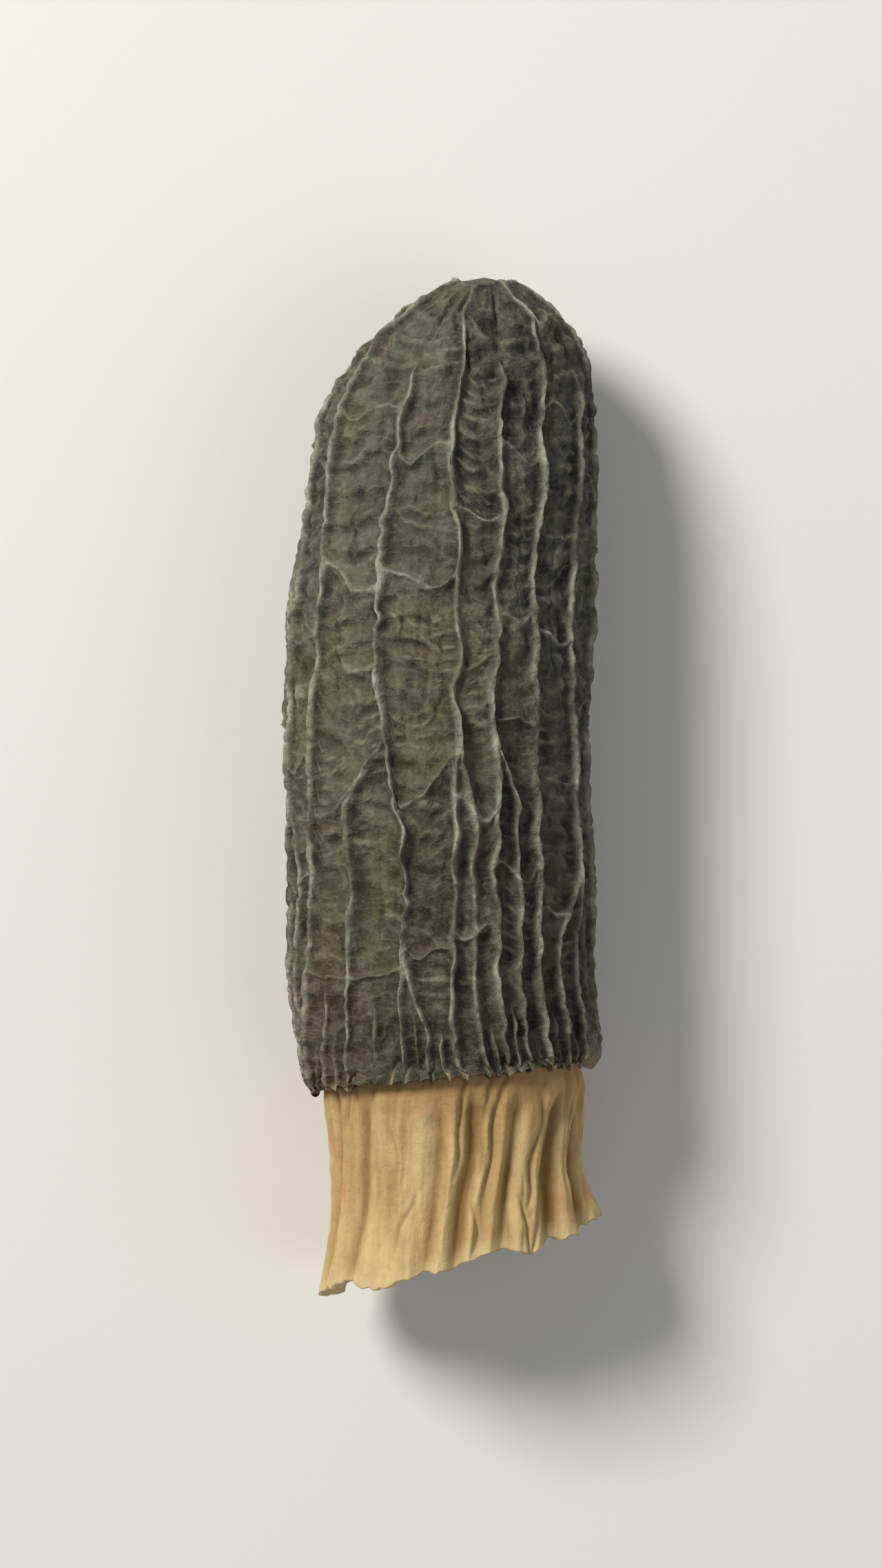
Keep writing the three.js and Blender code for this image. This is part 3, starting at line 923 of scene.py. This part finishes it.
def addBump(tree, height, distance, strength, after=None):
    node = tree.nodes.new("ShaderNodeBump")
    node.inputs["Distance"].default_value = distance
    node.inputs["Strength"].default_value = strength
    tree.links.new(height, node.inputs["Height"])
    if after is not None:
        tree.links.new(after, node.inputs["Normal"])
    return node.outputs["Normal"]


def addCover(tree, mark, reading):  # a share of a mark, or the range it is read in and what that gives
    if isinstance(reading, tuple):
        return addRange(tree, mark, *reading)
    return addProduct(tree, mark, reading)


def readMarks(tree, place, look):  # what layers and bumps can follow, by name
    marks = {name: addMark(tree, name) for name in look["marks"]}
    for name, values in look["noises"].items():
        marks[name] = addNoise(tree, place, *values)
    for name, values in look["folds"].items():
        marks[name] = addFolds(tree, place, *values)
    return marks


def finishWith(tree, shader, look, marks):
    name, reading, first, second = look["base"]
    colour = addMix(tree, addCover(tree, marks[name], reading), look[first], look[second])
    for name, reading, over in look["layers"]:
        colour = addMix(tree, addCover(tree, marks[name], reading), colour, look[over])
    tree.links.new(colour, shader.inputs["Base Color"])
    tree.links.new(addCover(tree, marks["grain"], look["roughness"]), shader.inputs["Roughness"])
    shader.inputs["Specular IOR Level"].default_value = look["specular"]
    normal = None
    for name, distance, strength in look["bumps"]:
        normal = addBump(tree, marks[name], distance, strength, normal)
    tree.links.new(normal, shader.inputs["Normal"])


capLook = {
    "pit": linear(84, 82, 58),
    "pitGrey": linear(76, 78, 68),
    "pitDark": linear(40, 37, 30),
    "rightSideShade": linear(44, 49, 47),  # painted shade, dark and cool, towards the right-hand side
    "warm": linear(66, 57, 33),  # towards the rim
    "russet": linear(86, 58, 44),  # low on the left
    # painted shade, laid in grooves, slots, creases and the low points of folds, crepe and grain
    "slotShade": linear(15, 12, 5),
    "ridge": linear(186, 184, 164),
    "wrinkle": linear(134, 132, 110),
    "purple": linear(96, 70, 64),
    "rim": linear(156, 140, 106),
    "inside": linear(196, 176, 136),

    "marks": ("crest", "wrinkle", "crease", "grooveShade", "tone", "rimPale", "inside"),
    "noises": {  # scale, detail, roughness and stretch
        "broad": (90, 2),
        "patch": (170, 3),
        "grain": (1500, 5, 0.7),
        "fibre": (900, 4, 0.6, (1.0, 0.25, 1.0)),
        "worn": (260, 4, 0.65),
        "dust": (6500, 3, 0.7),
    },
    "folds": {"folds": (420,), "crepe": (1100, (0.4, 1.0, 0.4))},  # scale and stretch
    "russetAlong": (-0.017, -0.009, 0.6, 0),  # between which places, and how much there
    "russetAside": (-0.0075, -0.0045, 1, 0),
    "onCrest": [  # a crest's edge is pale where these allow it
        ("crest", (0.26, 0.92, 0, 0.92)), ("fibre", (0.36, 0.6, 0.55, 1)), ("worn", (0.38, 0.6, 0.25, 1)),
    ],

    "base": ("broad", (0.4, 0.6), "pit", "pitGrey"),  # what it follows, how that is read, its colours
    "layers": [  # one over the other: what each follows, how that is read, its colour
        ("tone", (0.35, 0.95, 0, 0.85), "pitDark"),
        ("patch", (0.56, 0.7, 0, 0.5), "purple"),
        # painted shade over the right-hand side
        ("aside", (0, 0.009, 0, 0.6), "rightSideShade"),
        ("along", (-0.022, 0.02, 0.7, 0), "warm"),
        ("lowLeft", 1, "russet"),
        # painted shade beside the crests and in the rim's slots
        ("grooveShade", 0.92, "slotShade"),
        ("wrinkle", (0.15, 0.85, 0, 0.65), "wrinkle"),
        # painted shade in the creases
        ("crease", (0.3, 0.9, 0, 0.7), "slotShade"),
        ("paleCrest", 1, "ridge"),
        ("dust", (0.45, 0.75, 0, 0.3), "wrinkle"),
        ("folds", (0.6, 1.6, 0, 0.3), "wrinkle"),
        # painted shade between the folds
        ("folds", (0.1, 0.6, 0.26, 0), "slotShade"),
        ("crepe", (0.9, 1.7, 0, 0.2), "wrinkle"),
        # painted shade between the crepe's folds
        ("crepe", (0.1, 0.7, 0.14, 0), "slotShade"),
        # painted shade in the grain's low points
        ("grain", (0.35, 0.62, 0.35, 0), "slotShade"),
        ("rimPale", 1, "rim"),
        ("inside", 1, "inside"),
    ],
    "roughness": (0.3, 0.7, 0.68, 0.92),  # how the grain gives it
    "specular": 0.3,
    "bumps": [  # what each follows, depth in metres, strength
        ("grain", 0.00024, 0.6), ("crepe", 0.0001, 0.4), ("folds", 0.0002, 0.55), ("fibre", 0.0003, 0.4),
    ],
}


def capMaterial():
    material, tree, shader, place = startMaterial("driedCapSkin")
    marks = readMarks(tree, place, capLook)
    parts = tree.nodes.new("ShaderNodeSeparateXYZ")
    tree.links.new(place, parts.inputs["Vector"])
    marks["aside"], marks["along"] = parts.outputs["X"], parts.outputs["Y"]
    low = addCover(tree, marks["along"], capLook["russetAlong"])
    left = addCover(tree, marks["aside"], capLook["russetAside"])
    marks["lowLeft"] = addProduct(tree, low, left)
    pale = 1
    for name, reading in capLook["onCrest"]:
        pale = addProduct(tree, pale, addCover(tree, marks[name], reading))
    marks["paleCrest"] = pale
    finishWith(tree, shader, capLook, marks)
    return material


stemLook = {
    "flesh": linear(180, 150, 97),
    "light": linear(204, 177, 125),
    # painted shade in the furrows, also in the grain's low points
    "furrow": linear(120, 84, 32),
    "blush": linear(180, 130, 90),
    # painted shade under the cap's rim, mixed with a real brownish tint
    "upper": linear(160, 118, 72),
    "cut": linear(208, 186, 138),
    "inside": linear(196, 174, 130),

    "marks": ("furrow", "inside", "cut", "upper"),
    "noises": {"broad": (150, 3), "streak": (700, 5, 0.6, (1.0, 0.14, 1.0)), "grain": (1900, 4, 0.65)},
    "folds": {},
    "base": ("streak", (0.35, 0.68), "flesh", "light"),
    "layers": [
        ("broad", (0.52, 0.68, 0, 0.65), "blush"),
        # painted shade and real tint just under the cap
        ("upper", 0.6, "upper"),
        # painted shade deep in the furrows
        ("furrow", (0.2, 0.95, 0, 0.9), "furrow"),
        # painted shade in the grain's low points
        ("grain", (0.36, 0.5, 0.14, 0), "furrow"),
        ("cut", 0.55, "cut"),
        ("inside", 1, "inside"),
    ],
    "roughness": (0.3, 0.7, 0.62, 0.85),
    "specular": 0.35,
    "bumps": [("grain", 0.00018, 0.45), ("streak", 0.0004, 0.5)],
}


def stemMaterial():
    material, tree, shader, place = startMaterial("driedStemFlesh")
    finishWith(tree, shader, stemLook, readMarks(tree, place, stemLook))
    return material


capPiece.data.materials.append(capMaterial())
stemPiece.data.materials.append(stemMaterial())
print("finishes made")

for piece, node, slotName in ((capPiece, "cap", "cap_skin"), (stemPiece, "stem", "stem_flesh")):
    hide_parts(node)
    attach(piece, "root")


# Floor, lights and camera

studio = {
    "floorSize": 3.0,
    "floorColour": linear(226, 224, 218),
    "floorRoughness": 0.85,
    "floorSpecular": 0.2,
    "floorNoise": (900, 3),  # scale and detail
    "floorBump": (0.0001, 0.1),  # depth in metres and strength
    "worldColour": (0.95, 0.97, 1.0, 1.0),
    "worldStrength": 0.2,
    "lights": {  # place, size, power, colour
        "keyLight": ((-0.37, 0.33, 0.46), 0.24, 5.0, (1.0, 0.97, 0.92)),
        "fillLight": ((0.42, -0.16, 0.5), 0.6, 1.0, (0.93, 0.96, 1.0)),
    },
    "lightTarget": (0, 0, 0.01),
    "lens": 90.0,
    "sensorHeight": 36.0,
    "fill": 0.66,  # share of the picture's height that the mushroom takes
}


def makeFloor():
    half = studio["floorSize"] / 2
    corners = [(-half, -half, 0), (half, -half, 0), (half, half, 0), (-half, half, 0)]
    mesh = bpy.data.meshes.new("floor")
    mesh.from_pydata(corners, [], [(0, 1, 2, 3)])
    floor = bpy.data.objects.new("floor", mesh)
    bpy.context.collection.objects.link(floor)
    material, tree, shader, place = startMaterial("paleFloor")
    bumps = addBump(tree, addNoise(tree, place, *studio["floorNoise"]), *studio["floorBump"])
    tree.links.new(bumps, shader.inputs["Normal"])
    shader.inputs["Base Color"].default_value = studio["floorColour"]
    shader.inputs["Roughness"].default_value = studio["floorRoughness"]
    shader.inputs["Specular IOR Level"].default_value = studio["floorSpecular"]
    mesh.materials.append(material)


def aim(thing, place, target):
    away = np.array(place) - np.array(target)
    flat = math.hypot(away[0], away[1])
    thing.location = place
    thing.rotation_euler = (math.atan2(flat, away[2]), 0, math.atan2(away[0], -away[1]))


def lightUp():
    world = bpy.data.worlds.new("softRoom")
    world.use_nodes = True
    background = world.node_tree.nodes["Background"]
    background.inputs["Color"].default_value = studio["worldColour"]
    background.inputs["Strength"].default_value = studio["worldStrength"]
    bpy.context.scene.world = world
    for name, (place, size, power, colour) in studio["lights"].items():
        light = bpy.data.lights.new(name, "AREA")
        light.shape = "DISK"
        light.size = size
        light.energy = power
        light.color = colour
        lamp = bpy.data.objects.new(name, light)
        bpy.context.collection.objects.link(lamp)
        aim(lamp, place, studio["lightTarget"])


def lookDown():
    low, high = cadBox
    camera = bpy.data.cameras.new("camera")
    camera.lens = studio["lens"]
    camera.sensor_fit = "VERTICAL"
    camera.sensor_height = studio["sensorHeight"]
    frameHeight = (high[1] - low[1]) / studio["fill"]
    distance = frameHeight / 2 / math.tan(math.atan(camera.sensor_height / 2 / camera.lens))
    viewer = bpy.data.objects.new("camera", camera)
    bpy.context.collection.objects.link(viewer)
    viewer.location = ((low[0] + high[0]) / 2, (low[1] + high[1]) / 2, high[2] / 2 + distance)
    bpy.context.scene.camera = viewer


makeFloor()
lightUp()
lookDown()
bpy.context.scene.view_settings.view_transform = "Standard"
print("floor, lights and camera placed")
